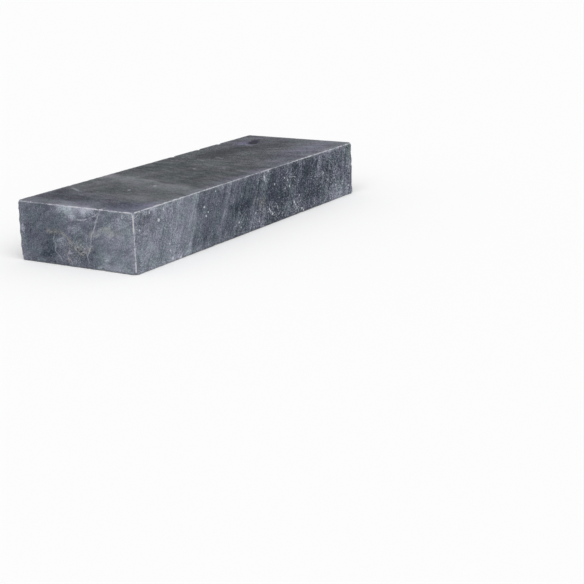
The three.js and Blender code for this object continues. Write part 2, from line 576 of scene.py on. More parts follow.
# The swings that make the beds wobble. The honed readings wobble once more.
BROAD_WOBBLE = (7.0, 0.020, 2.0)
FINE_WOBBLE = (32.0, 0.010, 4.0)
HONED_WOBBLE = (12.0, 0.06, 5.0, 0.6)
# Each bed: where it meets the foot of the riser, in metres from the left end, how pale it is brushed
# and honed, and its share of purple.
BEDS = (
    (-0.120, 0.34, 0.44, 0.45), (-0.085, 0.36, 0.38, 0.40), (-0.060, 0.42, 0.40, 0.45),
    (-0.035, 0.52, 0.34, 0.55), (0.010, 0.55, 0.34, 0.50), (0.035, 0.54, 0.42, 0.25),
    (0.060, 0.56, 0.50, 0.10), (0.100, 0.55, 0.46, 0.00), (0.135, 0.66, 0.42, 0.05),
    (0.165, 0.55, 0.46, 0.05), (0.190, 0.66, 0.62, 0.05), (0.208, 0.64, 0.70, 0.05),
    (0.215, 0.37, 0.70, 0.05), (0.230, 0.38, 0.66, 0.05), (0.240, 0.35, 0.40, 0.00),
    (0.262, 0.32, 0.30, 0.00), (0.285, 0.43, 0.30, 0.00), (0.305, 0.33, 0.30, 0.00),
    (0.335, 0.40, 0.26, 0.00), (0.370, 0.33, 0.30, 0.00), (0.410, 0.26, 0.26, 0.00),
    (0.465, 0.24, 0.33, 0.00), (0.495, 0.30, 0.38, 0.05), (0.525, 0.38, 0.28, 0.05),
    (0.545, 0.18, 0.27, 0.00), (0.600, 0.14, 0.29, 0.00), (0.640, 0.30, 0.34, 0.05),
    (0.670, 0.28, 0.30, 0.05), (0.695, 0.16, 0.28, 0.05), (0.760, 0.17, 0.27, 0.05),
    (0.810, 0.28, 0.32, 0.10), (1.000, 0.40, 0.36, 0.25),
)


def bed_distance(wire, place, spot):
    """How far along the beds a point lies, with the wobble of beds that were squeezed."""
    x, y, z = wire.split(spot)
    lean_up = wire.fade(x, *LEAN_UP_TURNS, *LEAN_UP)
    lean_back = wire.fade(x, *LEAN_BACK_TURNS, *LEAN_BACK)
    lean = wire.plus(wire.times(z, lean_up), wire.times(y, lean_back))
    wobble = wire.plus(wire.swing(place, *BROAD_WOBBLE), wire.swing(place, *FINE_WOBBLE))
    return wire.plus(wire.minus(x, lean), wobble)


def bed_readings(wire, along):
    """The three readings of the bed that a point lies in."""
    first = BEDS[0][0]
    reach = BEDS[-1][0] - first
    ramp = wire.add("ShaderNodeValToRGB", {0: wire.over(wire.minus(along, first), reach)})
    stops = ramp.color_ramp.elements
    stops.remove(stops[1])
    for number, (at, *readings) in enumerate(BEDS):
        stop = stops[0] if number == 0 else stops.new((at - first) / reach)
        stop.position = (at - first) / reach
        stop.color = (*readings, 1.0)
    return wire.split(ramp.outputs["Color"])


print("beds:", len(BEDS))

# %% [markdown]
# ## The rock: streaks, clouds and patches
#
# Within a bed the tone streaks: narrow across the bed and long within it. Noise does that once its place
# is squeezed along the beds. Clouds of every size lie over the streaks, and a few patches lie across
# the beds where fluids bleached or darkened the rock. A patch is a soft ball of given middle and reach,
# made ragged by shifting the place with noise before it is measured. The patches of the three faces
# that show most are listed one by one, and what lies behind them is left to the beds and the noise.
# One patch of the riser is painted light, not rock: it lifts the foot of the riser, which lies in shade
# next to the floor.

# %% Streaks and crystals
# How much further than the beds the streaks lean to the right, for each metre up.
STREAKS_LEAN_MORE = 0.16
# Streaks to the metre: along the beds, back and up. Then their swings, in streaks.
BROAD_STREAKS = (58.0, 8.0, 7.0)
FINE_STREAKS = (200.0, 30.0, 22.0)
BROAD_SWING = (1.0, 0.60, 4.0, 0.6)
FINE_SWING = (1.0, 0.75, 4.0, 0.65)
# The swings of the grain, and how streaks and grain grow to the right.
COARSE_GRAIN = (170.0, 0.9, 3.0, 0.65)
FINE_GRAIN = (400.0, 1.6, 2.0)
STREAKS_GROW = (0.15, 0.45, 0.75, 1.5)
GRAIN_GROWS = (0.30, 0.75, 1.0, 1.9)


def squeezed(wire, along, y, z, per_metre):
    """A place measured in streaks."""
    across_beds, back, up = per_metre
    return wire.joined(wire.times(along, across_beds), wire.times(y, back), wire.times(z, up))


def leaning_streaks(wire, along, spot):
    """Streaks within the beds, on two scales, which are stronger to the right."""
    x, y, z = wire.split(spot)
    along = wire.minus(along, wire.times(z, STREAKS_LEAN_MORE))
    broad = squeezed(wire, along, y, z, BROAD_STREAKS)
    fine = squeezed(wire, along, y, z, FINE_STREAKS)
    streaks = wire.plus(wire.swing(broad, *BROAD_SWING), wire.swing(fine, *FINE_SWING))
    return wire.times(streaks, wire.fade(along, *STREAKS_GROW))


def crystal_grain(wire, place, along):
    """The salt and pepper of the crystals, on two scales, which is stronger to the right."""
    grain = wire.plus(wire.swing(place, *COARSE_GRAIN), wire.swing(place, *FINE_GRAIN))
    return wire.times(grain, wire.fade(along, *GRAIN_GROWS))


print("streaks lean", round(LEAN_UP[0] + STREAKS_LEAN_MORE, 2), "to the right for each metre up")

# %% Patches of the left end
# Each patch: its middle as distances in metres from the left end, from the riser and above the bed
# face, its reach in the same three directions, and how much paler it is.
END_PATCHES = (
    ((0.000, 0.262, 0.030), (0.050, 0.050, 0.050), -0.22),
    ((0.000, 0.215, 0.002), (0.030, 0.050, 0.018), -0.26),
    ((0.000, 0.150, 0.068), (0.030, 0.020, 0.012), -0.20),
    ((0.000, 0.165, 0.042), (0.030, 0.016, 0.010), -0.16),
    ((0.000, 0.135, 0.098), (0.030, 0.030, 0.014), -0.12),
    ((0.000, 0.045, 0.105), (0.030, 0.050, 0.034), 0.08),
    ((0.000, 0.090, 0.090), (0.030, 0.080, 0.018), 0.15),
    ((0.000, 0.180, 0.092), (0.030, 0.040, 0.018), 0.16),
    ((0.000, 0.150, 0.026), (0.030, 0.065, 0.036), -0.27),
    ((0.000, 0.243, 0.072), (0.030, 0.026, 0.018), -0.12),
    ((0.000, 0.135, 0.146), (0.030, 0.036, 0.028), 0.20),
    ((0.000, 0.310, 0.080), (0.030, 0.050, 0.035), -0.07),
    ((0.000, 0.035, 0.058), (0.020, 0.016, 0.018), -0.10),
    ((0.000, 0.200, 0.141), (0.030, 0.050, 0.030), 0.20),
    ((0.000, 0.275, 0.135), (0.030, 0.025, 0.030), -0.10),
    ((0.000, 0.345, 0.060), (0.050, 0.022, 0.040), 0.14),
)
print("patches of the left end:", len(END_PATCHES))

# %% Patches of the riser
RISER_PATCHES = (
    ((0.040, 0.000, 0.125), (0.040, 0.050, 0.040), -0.17),
    ((0.040, 0.000, 0.035), (0.060, 0.050, 0.050), 0.10),
    ((0.260, 0.000, 0.035), (0.030, 0.030, 0.050), 0.07),
    # Painted light: this patch lifts the foot of the riser, which lies in shade next to the floor.
    ((0.200, 0.000, 0.004), (0.300, 0.030, 0.020), 0.10),
    ((0.350, 0.000, 0.080), (0.060, 0.030, 0.100), -0.07),
    ((0.440, 0.000, 0.078), (0.070, 0.030, 0.024), -0.22),
    ((0.460, 0.000, 0.030), (0.060, 0.030, 0.045), 0.16),
    ((0.540, 0.000, 0.115), (0.022, 0.030, 0.045), 0.14),
    ((0.620, 0.000, 0.073), (0.075, 0.030, 0.020), -0.15),
    ((0.600, 0.000, 0.100), (0.060, 0.030, 0.050), -0.05),
    ((0.600, 0.000, 0.030), (0.070, 0.030, 0.040), -0.07),
    ((0.640, 0.000, 0.005), (0.040, 0.040, 0.020), -0.10),
    ((0.685, 0.000, 0.115), (0.035, 0.030, 0.045), -0.19),
    ((0.718, 0.000, 0.138), (0.022, 0.030, 0.022), 0.24),
    ((0.650, 0.000, 0.062), (0.034, 0.030, 0.028), -0.20),
    ((0.800, 0.000, 0.050), (0.050, 0.040, 0.040), -0.12),
    ((0.760, 0.000, 0.110), (0.045, 0.050, 0.045), -0.15),
    ((0.860, 0.000, 0.085), (0.055, 0.030, 0.050), -0.22),
    ((0.950, 0.000, 0.110), (0.050, 0.030, 0.060), -0.13),
    ((0.920, 0.000, 0.015), (0.080, 0.050, 0.040), 0.19),
)
print("patches of the riser:", len(RISER_PATCHES))

# %% Patches of the tread
TREAD_PATCHES = (
    ((0.900, 0.040, 0.147), (0.240, 0.140, 0.020), 0.26),
    ((0.660, 0.020, 0.147), (0.160, 0.080, 0.020), 0.07),
    ((0.700, 0.250, 0.147), (0.110, 0.080, 0.020), -0.38),
    ((0.700, 0.130, 0.147), (0.110, 0.070, 0.020), -0.07),
    ((0.870, 0.185, 0.147), (0.120, 0.070, 0.020), -0.15),
    ((0.800, 0.255, 0.147), (0.090, 0.100, 0.020), -0.26),
    ((0.935, 0.310, 0.147), (0.040, 0.030, 0.020), 0.12),
    ((0.858, 0.272, 0.147), (0.030, 0.045, 0.030), 0.34),
    ((0.515, 0.270, 0.147), (0.060, 0.080, 0.020), -0.12),
    ((0.430, 0.120, 0.147), (0.110, 0.100, 0.020), -0.09),
    ((0.190, 0.215, 0.147), (0.070, 0.140, 0.020), -0.22),
    ((0.030, 0.180, 0.147), (0.040, 0.160, 0.020), 0.18),
    ((0.075, 0.240, 0.147), (0.050, 0.110, 0.020), -0.23),
    ((0.060, 0.015, 0.147), (0.100, 0.035, 0.020), 0.26),
    ((0.040, 0.090, 0.147), (0.050, 0.050, 0.020), -0.18),
    ((0.280, 0.045, 0.147), (0.050, 0.060, 0.020), -0.08),
    ((0.295, 0.160, 0.147), (0.050, 0.070, 0.020), -0.12),
    ((0.570, 0.160, 0.147), (0.050, 0.100, 0.020), 0.08),
    ((0.655, 0.200, 0.147), (0.050, 0.070, 0.020), -0.14),
    ((0.950, 0.190, 0.147), (0.040, 0.060, 0.020), -0.08),
    ((0.130, 0.315, 0.147), (0.080, 0.050, 0.020), -0.16),
    ((0.550, 0.075, 0.147), (0.060, 0.060, 0.020), -0.14),
    ((0.380, 0.012, 0.147), (0.140, 0.025, 0.020), 0.18),
)
PATCHES = END_PATCHES + RISER_PATCHES + TREAD_PATCHES
print("patches of the tread:", len(TREAD_PATCHES), "and in all:", len(PATCHES))

# %% Crisp, purple, dark and close-grained patches, in the same form
# Patches with a crisper rim, such as the pale bowl at the top of the left end.
CRISP_PATCHES = (
    ((0.000, 0.172, 0.163), (0.030, 0.067, 0.054), 0.18),
    ((0.000, 0.190, 0.128), (0.030, 0.030, 0.020), 0.06),
    ((0.000, 0.112, 0.122), (0.030, 0.010, 0.006), -0.14),
    ((0.000, 0.224, 0.040), (0.030, 0.019, 0.030), 0.07),
    ((0.000, 0.337, 0.079), (0.030, 0.010, 0.010), 0.25),
)
# Patches that are purple once honed, and how purple.
PURPLE_PATCHES = (
    ((0.040, 0.065, 0.147), (0.060, 0.050, 0.020), 0.95),
    ((0.060, 0.020, 0.147), (0.100, 0.060, 0.020), 0.50),
    ((0.875, 0.275, 0.147), (0.060, 0.050, 0.040), 0.90),
    ((0.800, 0.060, 0.147), (0.250, 0.080, 0.020), 0.50),
    ((0.500, 0.010, 0.147), (0.400, 0.050, 0.020), 0.45),
)
# The dark mark on the tread, of three overlapping spots, and the faint dark streaks before it.
DARK_MARK = (
    ((0.880, 0.256, 0.147), (0.025, 0.019, 0.040), 1.00),
    ((0.899, 0.266, 0.147), (0.026, 0.017, 0.040), 1.00),
    ((0.924, 0.279, 0.147), (0.022, 0.013, 0.040), 0.85),
    ((0.798, 0.262, 0.147), (0.020, 0.026, 0.040), 0.30),
    ((0.810, 0.240, 0.147), (0.020, 0.026, 0.040), 0.30),
    ((0.825, 0.216, 0.147), (0.018, 0.024, 0.040), 0.22),
    ((0.866, 0.210, 0.147), (0.020, 0.022, 0.040), 0.20),
    ((0.886, 0.190, 0.147), (0.020, 0.022, 0.040), 0.20),
)
# Patches of closer, quieter grain.
CLOSE_GRAINED = (
    ((0.000, 0.055, 0.065), (0.020, 0.110, 0.110), -0.60),
    ((0.000, 0.290, 0.070), (0.020, 0.110, 0.110), -0.28),
    ((0.000, 0.180, 0.115), (0.020, 0.080, 0.065), -0.35),
    ((0.200, 0.000, 0.090), (0.065, 0.030, 0.110), -0.40),
    ((0.080, 0.000, 0.060), (0.080, 0.030, 0.080), -0.30),
)
print("spots of the dark mark:", len(DARK_MARK), "and purple patches:", len(PURPLE_PATCHES))

# %% From patches to a pattern


def with_patches(wire, spot, value, patches, core=0.25):
    """Adds each patch to a value. A patch is whole in its core and fades out towards its reach."""
    for middle, reach, amount in patches:
        offset = wire.vector("DIVIDE", wire.vector("SUBTRACT", spot, middle), reach)
        value = wire.plus(value, wire.fade(wire.length(offset), 1.0, core, 0.0, amount))
    return value


print("patch helper:", with_patches.__name__)

# %% [markdown]
# ## The rock: cracks, rust and flecks
#
# Cracks healed with white calcite, and iron seeped in beside some of them as a trace of rust. They are
# few and each has its own course, so their points are listed one by one and the tree measures the
# distance to the nearest stretch of line. A clean crack is drawn as the line itself. Rust is shyer: a
# grainy
# thread follows its line, and round about it the rust fills only fine veinlets. Noise makes these:
# where smooth noise passes through its middle value it leaves thin, crooked, branching lines.
#
# White flecks are bits of fossil shell and single large crystals. The large ones are listed one by one
# too. The small ones are the peaks of fine noise, which are ragged as real ones are, and they crowd low
# on the riser towards the right.

# %% Lines: cracks healed with calcite, and the courses of rust
# Each line on the left end: its strength, then its points in metres from the riser and above the bed
# face.
CALCITE_LINES = (
    (0.60, (0.092, 0.147), (0.105, 0.127), (0.111, 0.110), (0.118, 0.097), (0.125, 0.083)),
    (0.45, (0.125, 0.083), (0.131, 0.057), (0.136, 0.042), (0.142, 0.032), (0.139, 0.014)),
    (0.60, (0.103, 0.137), (0.115, 0.129), (0.130, 0.122), (0.145, 0.117), (0.162, 0.115)),
    (0.45, (0.160, 0.115), (0.176, 0.116), (0.192, 0.121), (0.205, 0.128)),
    (0.38, (0.237, 0.080), (0.243, 0.062), (0.236, 0.049), (0.240, 0.036), (0.226, 0.022),
     (0.218, 0.010)),
    (0.85, (0.0895, 0.0255), (0.0865, 0.0270)),
    (0.80, (0.0830, 0.0270), (0.0815, 0.0255)),
    (0.70, (0.0805, 0.0165), (0.0790, 0.0150)),
    (0.40, (0.139, 0.034), (0.150, 0.040), (0.163, 0.036), (0.178, 0.044)),
    (0.35, (0.122, 0.058), (0.134, 0.052), (0.148, 0.048), (0.158, 0.054)),
)
# The hairline round the chip at the riser's top left corner: metres from the left end and above the
# bed face.
CHIP_LINE = (0.8, (0.001, 0.132), (0.012, 0.136), (0.030, 0.1465))
# The courses of rust on the left end, in the form of the calcite lines.
RUST_LINES = (
    (0.5, (0.256, 0.083), (0.250, 0.081), (0.234, 0.083), (0.214, 0.077)),
    (0.6, (0.214, 0.077), (0.204, 0.072), (0.193, 0.061), (0.187, 0.053), (0.175, 0.044)),
    (0.7, (0.177, 0.046), (0.168, 0.037), (0.159, 0.032), (0.150, 0.031)),
    (0.6, (0.152, 0.031), (0.144, 0.040), (0.138, 0.047), (0.128, 0.052)),
    (0.5, (0.180, 0.044), (0.160, 0.046), (0.147, 0.042)),
    (0.5, (0.207, 0.033), (0.200, 0.022), (0.192, 0.008)),
    (0.5, (0.250, 0.082), (0.238, 0.078), (0.226, 0.080)),
)
# Spots of rust on the left end: metres from the riser and above the bed face, reach and strength.
RUST_SPOTS = (
    (0.193, 0.061, 0.0050, 0.8), (0.188, 0.055, 0.0040, 0.8), (0.177, 0.044, 0.0055, 0.9),
    (0.199, 0.018, 0.0080, 0.7), (0.163, 0.034, 0.0045, 0.6), (0.233, 0.082, 0.0045, 0.5),
    (0.247, 0.083, 0.0055, 0.5), (0.130, 0.084, 0.0080, 0.4),
)
# Pale scratches on the tread: strength, then points in metres from the left end and from the riser.
TREAD_SCRATCHES = (
    (0.50, (0.166, 0.318), (0.154, 0.297), (0.143, 0.275)),
    (0.30, (0.608, 0.255), (0.598, 0.230)),
    (0.30, (0.656, 0.228), (0.640, 0.195)),
    (0.45, (0.274, 0.146), (0.264, 0.139)),
    (0.40, (0.207, 0.173), (0.197, 0.166)),
    (0.30, (0.495, 0.187), (0.486, 0.177)),
    (0.30, (0.536, 0.122), (0.528, 0.115)),
    (0.25, (0.590, 0.085), (0.580, 0.070)),
)
print("lines:", len(CALCITE_LINES), "of calcite and", len(RUST_LINES), "of rust")

# %% From lines to a mask


def line_distance(wire, spot, points):
    """The distance from a spot to a broken line through the points."""
    nearest = 1.0
    for start, end in zip(points, points[1:]):
        run = Vector(end) - Vector(start)
        offset = wire.vector("SUBTRACT", spot, start)
        share = wire.over(wire.dot(offset, run), run.dot(run))
        share = wire.least(wire.most(share, 0.0), 1.0)
        beside = wire.vector("SUBTRACT", offset, wire.scaled(tuple(run), share))
        nearest = wire.least(nearest, wire.length(beside))
    return nearest


def in_space(point, plane):
    """A point of a plane, which is given by the numbers of its two axes, as a place."""
    return tuple(point[plane.index(axis)] if axis in plane else 0.0 for axis in range(3))


def drawn_lines(wire, spot, lines, plane, half_width):
    """A mask of lines that lie in a plane."""
    mask = 0.0
    for strength, *points in lines:
        placed = [in_space(point, plane) for point in points]
        line = wire.fade(line_distance(wire, spot, placed), half_width, 0.2 * half_width, 0.0, strength)
        mask = wire.most(mask, line)
    return mask


def veinlets(wire, place, per_metre, thinness):
    """Thin crooked threads, where noise passes through its middle value."""
    from_middle = wire.math("ABSOLUTE", wire.swing(place, per_metre, 1.0, 5.0, 0.6))
    return wire.fade(from_middle, thinness, 0.0)


print("an example of a place on a line:", in_space(CALCITE_LINES[0][1], (1, 2)))

# %% Flecks: listed one by one, and scattered
# What a place is multiplied by to lay it flat on the left end, the riser or the tread.
ON_END = (0.0, 1.0, 1.0)
ON_RISER = (1.0, 0.0, 1.0)
ON_TREAD = (1.0, 1.0, 0.0)
# The large white flecks of the riser: metres from the left end and above the bed face, and the reach.
WHITE_FLECKS = (
    (0.060, 0.135, 0.0040), (0.093, 0.111, 0.0057), (0.113, 0.132, 0.0032), (0.130, 0.047, 0.0037),
    (0.131, 0.030, 0.0030), (0.139, 0.010, 0.0048), (0.170, 0.004, 0.0057), (0.275, 0.105, 0.0042),
    (0.281, 0.082, 0.0039), (0.290, 0.090, 0.0026), (0.325, 0.134, 0.0028), (0.562, 0.142, 0.0035),
    (0.544, 0.129, 0.0048), (0.543, 0.123, 0.0037), (0.590, 0.102, 0.0032), (0.640, 0.110, 0.0032),
    (0.655, 0.102, 0.0030), (0.662, 0.084, 0.0042), (0.561, 0.042, 0.0040), (0.566, 0.036, 0.0037),
    (0.576, 0.026, 0.0048), (0.684, 0.037, 0.0053), (0.690, 0.028, 0.0039), (0.838, 0.087, 0.0037),
    (0.722, 0.012, 0.0049), (0.729, 0.006, 0.0042), (0.905, 0.042, 0.0037), (0.975, 0.028, 0.0033),
    (0.420, 0.036, 0.0032), (0.428, 0.022, 0.0032), (0.512, 0.020, 0.0035), (0.497, 0.045, 0.0030),
    (0.945, 0.045, 0.0035), (0.610, 0.064, 0.0026), (0.020, 0.102, 0.0030), (0.710, 0.050, 0.0032),
)
# Where the fine flecks crowd, in the form of a patch.
FLECKED = (
    ((0.440, 0.000, 0.030), (0.060, 0.040, 0.050), 0.06),
    ((0.580, 0.000, 0.025), (0.140, 0.040, 0.050), 0.09),
    ((0.550, 0.000, 0.130), (0.030, 0.040, 0.030), 0.08),
    ((0.670, 0.000, 0.095), (0.050, 0.040, 0.050), 0.07),
    ((0.710, 0.000, 0.025), (0.070, 0.040, 0.040), 0.08),
    ((0.860, 0.000, 0.070), (0.110, 0.040, 0.070), 0.08),
    ((0.920, 0.000, 0.010), (0.090, 0.040, 0.040), 0.06),
    ((0.140, 0.000, 0.010), (0.060, 0.040, 0.030), 0.05),
)
print("large flecks:", len(WHITE_FLECKS), "and crowds of small ones:", len(FLECKED))

# %% From flecks to masks


def placed_flecks(wire, spot, shard):
    """The riser's large flecks. shard is a wandering vector that makes each one ragged."""
    flat = wire.vector("ADD", wire.vector("MULTIPLY", spot, ON_RISER), shard)
    mask = 0.0
    for along, above, reach in WHITE_FLECKS:
        distance = wire.length(wire.vector("SUBTRACT", flat, (along, 0.0, above)))
        mask = wire.most(mask, wire.fade(distance, reach, 0.35 * reach))
    return mask


def scattered_flecks(wire, place, per_metre, rarity, crowding):
    """The peaks of fine noise. A higher rarity leaves fewer of them, and crowding lets more through."""
    peaks = wire.plus(wire.noise(place, per_metre, 3.0, 0.55), crowding)
    return wire.fade(wire.minus(peaks, rarity), 0.0, 0.07)


print("fleck helpers:", placed_flecks.__name__, scattered_flecks.__name__)

# %% [markdown]
# ## The rock: all of it in one group
#
# Three finishes use the same rock, so it is a node group, built once. It takes the place and how strongly
# a finish shows each thing, and puts out a tone from 0, dark, to 1, pale, a faint tinge, masks for the
# dark mark, rust, calcite and flecks, and the crystals that a finish takes its roughness and bump from.
# Each finish makes its own colours from them.

# %% The tinges
PURPLE_TINGE = (1.02, 0.975, 1.28, 1.0)
GREEN_TINGE = (0.96, 1.015, 0.96, 1.0)
ROSE_TINGE = (1.045, 0.99, 1.03, 1.0)
TAN_TINGE = (1.11, 1.05, 0.89, 1.0)
TEAL_TINGE = (0.92, 1.01, 0.99, 1.0)
TAN_PATCHES = (
    ((0.533, 0.000, 0.060), (0.020, 0.050, 0.034), 0.90),
    ((0.504, 0.000, 0.080), (0.012, 0.050, 0.024), 0.60),
    ((0.050, 0.000, 0.110), (0.045, 0.030, 0.040), 0.20),
    ((0.980, 0.000, 0.130), (0.050, 0.030, 0.030), 0.40),
    ((0.000, 0.120, 0.086), (0.030, 0.030, 0.012), 0.45),
    ((0.000, 0.070, 0.096), (0.030, 0.060, 0.014), 0.50),
    ((0.000, 0.175, 0.045), (0.030, 0.050, 0.035), 0.40),
    ((0.000, 0.235, 0.082), (0.030, 0.030, 0.010), 0.50),
)
TEAL_PATCHES = (
    ((0.515, 0.270, 0.147), (0.060, 0.080, 0.020), 1.00),
    ((0.440, 0.135, 0.147), (0.060, 0.055, 0.020), 0.90),
    ((0.360, 0.170, 0.147), (0.040, 0.045, 0.020), 0.60),
    ((0.060, 0.190, 0.147), (0.030, 0.050, 0.020), 0.60),
    ((0.960, 0.165, 0.147), (0.040, 0.050, 0.020), 0.50),
    ((0.980, 0.000, 0.130), (0.050, 0.030, 0.030), 0.80),
)
# Where the rock drifts from green to rose.
DRIFT = ((22.0, 5.0, 0.7), (0.36, 0.64))


def faint_tinge(wire, place, spot, purple):
    """The colour cast: green to rose from place to place, and purple, tan or teal in patches."""
    tinge = wire.tint(wire.mottle(place, *DRIFT), GREEN_TINGE, ROSE_TINGE)
    tan = with_patches(wire, spot, 0.0, TAN_PATCHES)
    teal = with_patches(wire, spot, 0.0, TEAL_PATCHES)
    for share, cast in ((purple, PURPLE_TINGE), (tan, TAN_TINGE), (teal, TEAL_TINGE)):
        tinge = wire.tint(share, tinge, wire.tint(1.0, tinge, cast, "MULTIPLY"))
    return tinge


print("tan patches:", len(TAN_PATCHES), "and teal ones:", len(TEAL_PATCHES))

# %% What the rock group takes and puts out, and how noise shifts things
ROCK_INPUTS = {
    "Place": "Vector",
    "Honed": "Float",
    "Streaks": "Float",
    "Clouds": "Float",
    "Grain": "Float",
    "Flecks": "Float",
}
ROCK_OUTPUTS = {
    "Tone": "Float",
    "Tinge": "Color",
    "Dark Mark": "Float",
    "Rust": "Float",
    "Calcite": "Float",
    "Fleck": "Float",
    "Crystals": "Float",
}
# The crook and the wander are vectors that change from place to place, the one on a larger scale and the
# other on a smaller one. The crystals are plain noise.
CROOK = (45.0, 5.0)
WANDER = (260.0, 3.0)
CRYSTALS = (260.0, 3.0, 0.65)
# How far the crook shifts a place before a patch, a crisp patch or a coloured patch is measured.
PATCH_SHIFT = 0.06
CRISP_SHIFT = 0.02
TINGE_SHIFT = 0.05
# How far the wander shifts the crowds of flecks, and the large flecks.
CROWD_SHIFT = 0.05
FLECK_SHIFT = 0.006
# How far both of them shift the dark mark and the lines. Rust strays this many times as far as a crack.
MARK_SHIFTS = (0.025, 0.012)
LINE_SHIFTS = (0.010, 0.005)
RUST_STRAYS = 2.2


def both_shifts(wire, crook, wander, shifts):
    """The crook and the wander in one vector, each by its own amount."""
    by_crook, by_wander = shifts
    return wire.vector("ADD", wire.scaled(crook, by_crook), wire.scaled(wander, by_wander))


print("the rock group takes", list(ROCK_INPUTS), "and puts out", list(ROCK_OUTPUTS))

# %% The rock's tone
CLOUDS = (20.0, 1.0, 8.0, 0.70)
# How clouds and grain grow to the right, on top of the grain's own growth.
BOTH_GROW = (0.40, 0.90, 1.0, 1.05)


def rock_tone(wire, given, spot, crook, along, brushed, honed):
    """How pale the stone is: its bed, then streaks, clouds, patches and grain."""
    place = given["Place"]
    tone = wire.blend(given["Honed"], brushed, honed)
    tone = wire.plus(tone, wire.times(leaning_streaks(wire, along, spot), given["Streaks"]))
    quiet = with_patches(wire, spot, 1.0, CLOSE_GRAINED)
    quiet = wire.times(quiet, wire.fade(along, *BOTH_GROW))
    clouds = wire.times(wire.swing(place, *CLOUDS), given["Clouds"])
    tone = wire.plus(tone, wire.times(clouds, quiet))
    # PATCHES also hold the painted light at the foot of the riser.
    tone = with_patches(wire, wire.shifted(spot, crook, PATCH_SHIFT), tone, PATCHES)
    tone = with_patches(wire, wire.shifted(spot, crook, CRISP_SHIFT), tone, CRISP_PATCHES, core=0.7)
    grain = wire.times(crystal_grain(wire, place, along), given["Grain"])
    return wire.plus(tone, wire.times(grain, quiet))


print("tone helper:", rock_tone.__name__)

# %% The rock's calcite and rust
# A face's own marks are whole down to the second depth below it, and gone at the first.
NEAR_FACE = (0.03, 0.012)
NEAR_TREAD = (0.006, 0.003)
# Half the width of each kind of line. Rust is a thread, with veinlets in a broader seep round about it.
CRACK = 0.0022
CHIP = 0.0016
SCRATCH = 0.006
RUST_THREAD = 0.0030
RUST_SEEP = 0.009
# Veinlets: lumps to the metre and thinness.
BROAD_VEINLETS = (48.0, 0.022)
FINE_VEINLETS = (90.0, 0.030)
# How a rust thread is grainy, and how every line is broken.
GRAINY = ((210.0, 3.0, 0.6), (0.46, 0.58, 0.10, 1.0))
BROKEN = ((110.0, 3.0, 0.6), (0.38, 0.58, 0.25, 1.0))


def calcite_mask(wire, spot, astray, near_end, near_riser, near_tread):
    """Healed cracks on the left end, the chip's hairline on the riser and scratches on the tread."""
    cracks = wire.times(drawn_lines(wire, astray, CALCITE_LINES, (1, 2), CRACK), near_end)
    on_riser = wire.vector("MULTIPLY", spot, ON_RISER)
    chip = wire.times(drawn_lines(wire, on_riser, (CHIP_LINE,), (0, 2), CHIP), near_riser)
    on_tread = wire.vector("MULTIPLY", spot, ON_TREAD)
    scratches = drawn_lines(wire, on_tread, TREAD_SCRATCHES, (0, 1), SCRATCH)
    return wire.most(wire.most(cracks, chip), wire.times(scratches, near_tread))


def rust_mask(wire, place, seeped):
    """Rust in veinlets and in a grainy thread along its lines, and in spots."""
    threads = wire.most(veinlets(wire, place, *BROAD_VEINLETS), veinlets(wire, place, *FINE_VEINLETS))
    rust = wire.times(drawn_lines(wire, seeped, RUST_LINES, (1, 2), RUST_SEEP), threads)
    grainy = wire.mottle(place, *GRAINY)
    thread = wire.times(drawn_lines(wire, seeped, RUST_LINES, (1, 2), RUST_THREAD), grainy)
    rust = wire.most(rust, thread)
    for across, above, reach, strength in RUST_SPOTS:
        distance = wire.length(wire.vector("SUBTRACT", seeped, (0.0, across, above)))
        rust = wire.most(rust, wire.fade(distance, reach, 0.1 * reach, 0.0, strength))
    return rust


def cracks_and_rust(wire, place, spot, crook, wander):
    """The masks of calcite and rust. Rust strays off its course more than a crack does."""
    x, y, z = wire.split(spot)
    near_end = wire.fade(x, *NEAR_FACE)
    near_riser = wire.fade(y, *NEAR_FACE)
    near_tread = wire.fade(z, *[SIZE.z - depth for depth in NEAR_TREAD])
    broken = wire.mottle(place, *BROKEN)
    shift = both_shifts(wire, crook, wander, LINE_SHIFTS)
    astray = wire.vector("MULTIPLY", wire.vector("ADD", spot, shift), ON_END)
    seeped = wire.vector("MULTIPLY", wire.shifted(spot, shift, RUST_STRAYS), ON_END)
    calcite = calcite_mask(wire, spot, astray, near_end, near_riser, near_tread)
    rust = rust_mask(wire, place, seeped)
    return wire.times(calcite, broken), wire.times(wire.times(rust, broken), near_end)


print("rust seeps", RUST_SEEP, "m from its lines")

# %% The rock's flecks
# Flecks: lumps to the metre and rarity, and how strongly the fine ones show.
FINE_FLECKS = (330.0, 0.665)
COARSE_FLECKS = (130.0, 0.72)
FINE_STRENGTH = 0.75
# The coarse flecks crowd this much less than the fine ones, and the crowds are uneven.
COARSE_CROWDING = 0.6
UNEVEN = ((42.0, 4.0, 0.65), (0.42, 0.60, 0.5, 1.5))


def white_flecks(wire, place, spot, wander):
    """The mask of white flecks."""
    crowding = with_patches(wire, wire.shifted(spot, wander, CROWD_SHIFT), 0.0, FLECKED)
    near_riser = wire.fade(wire.split(spot)[1], *NEAR_FACE)
    fleck = wire.times(placed_flecks(wire, spot, wire.scaled(wander, FLECK_SHIFT)), near_riser)
    crowding = wire.times(crowding, wire.mottle(place, *UNEVEN))
    fine = wire.times(scattered_flecks(wire, place, *FINE_FLECKS, crowding), FINE_STRENGTH)
    fewer = wire.times(crowding, COARSE_CROWDING)
    coarse = scattered_flecks(wire, place, *COARSE_FLECKS, fewer)
    return wire.most(fleck, wire.most(fine, coarse))


print("lumps of fleck noise to the metre:", FINE_FLECKS[0], "and", COARSE_FLECKS[0])

# %% The rock group


